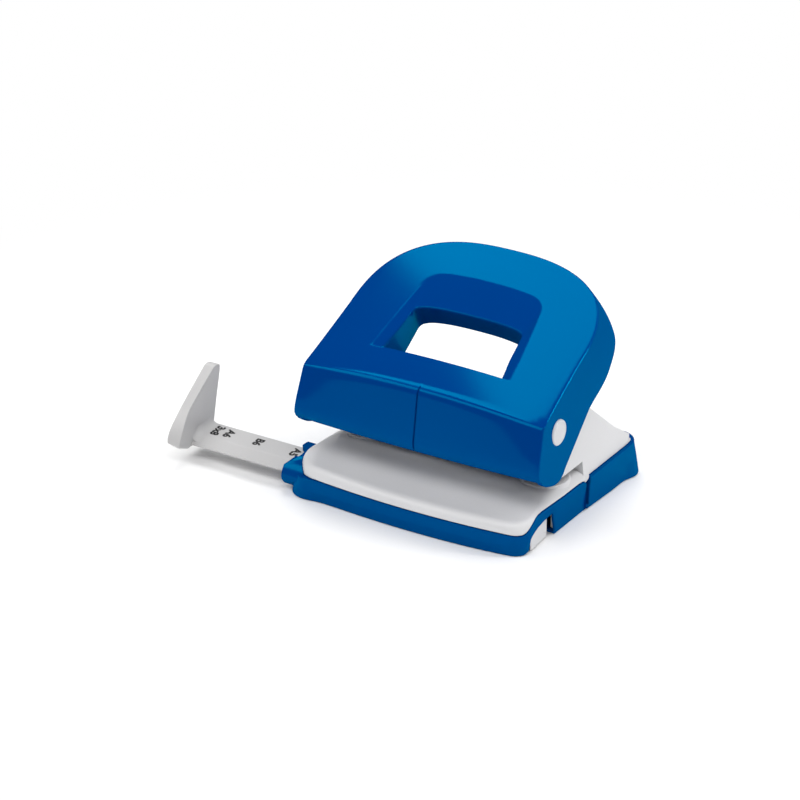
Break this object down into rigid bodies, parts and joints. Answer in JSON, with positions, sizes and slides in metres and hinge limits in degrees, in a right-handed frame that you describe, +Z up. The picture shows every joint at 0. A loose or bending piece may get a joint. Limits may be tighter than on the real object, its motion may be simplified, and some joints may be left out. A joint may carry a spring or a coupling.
{
  "type": "hole punch",
  "caption": "Desk hole punch for paper with a rocking handle, a slot in front of a low tower, a hinged chip tray and a sliding paper guide.",
  "frame": {"origin": "on the table under the punch line, midway between the two pins", "axes": "+X along the punch away from the paper guide, +Y to the back, +Z up"},
  "size_m": [0.1652, 0.1004, 0.0895],
  "materials": {
    "tray_plastic": "moulded, satin",
    "handle_plastic": "moulded, soft gloss",
    "housing_plastic": "moulded, satin",
    "cap_plastic": "moulded",
    "guide_plastic": "moulded, satin",
    "steel": "zinc plated",
    "hard_steel": "ground",
    "screw_steel": "plated",
    "spring_steel": "drawn wire and strip"
  },
  "bodies": {
    "tray": {"chip_tray": "tray_plastic", "tray_hinge_pin": "steel", "guide_click_spring": "spring_steel"},
    "frame": {"housing": "housing_plastic", "die_plate": "steel", "die_screws": "screw_steel", "die_bush_left": "hard_steel", "die_bush_right": "hard_steel", "guide_bush_left": "steel", "guide_bush_right": "steel", "return_spring_left": "spring_steel", "return_spring_right": "spring_steel"},
    "handle": {"handle": "handle_plastic", "axle": "steel", "axle_cap_left": "cap_plastic", "axle_cap_right": "cap_plastic", "press_lever_left": "steel", "press_lever_right": "steel", "lever_screws": "screw_steel"},
    "pin_left": {"punch_pin_left": "hard_steel"},
    "pin_right": {"punch_pin_right": "hard_steel"},
    "guide": {"paper_guide": "guide_plastic"}
  },
  "joints": [
    {"name": "tray_hinge", "type": "hinge", "parent": "tray", "child": "frame", "pos_m": [-0.0513, 0.035, 0.015], "axis": [0, -1, 0], "range_deg": [0, 28]},
    {"name": "handle_hinge", "type": "hinge", "parent": "frame", "child": "handle", "pos_m": [0, -0.0157, 0.047], "axis": [-1, 0, 0], "range_deg": [0, 22.03], "stiffness_Nm_per_rad": 0.6, "springref_deg": -11.46},
    {"name": "pin_left_slide", "type": "slide", "parent": "frame", "child": "pin_left", "axis": [0, 0, -1], "range_m": [0, 0.006], "deforming": ["return_spring_left"]},
    {"name": "pin_right_slide", "type": "slide", "parent": "frame", "child": "pin_right", "axis": [0, 0, -1], "range_m": [0, 0.006], "deforming": ["return_spring_right"]},
    {"name": "guide_slide", "type": "slide", "parent": "tray", "child": "guide", "axis": [-1, 0, 0], "range_m": [-0.0365, 0.0435]}
  ],
  "couplings": [
    {"joint": "pin_left_slide", "follows": "handle_hinge", "m_per_rad": 0.015604},
    {"joint": "pin_right_slide", "follows": "handle_hinge", "m_per_rad": 0.015604}
  ]
}
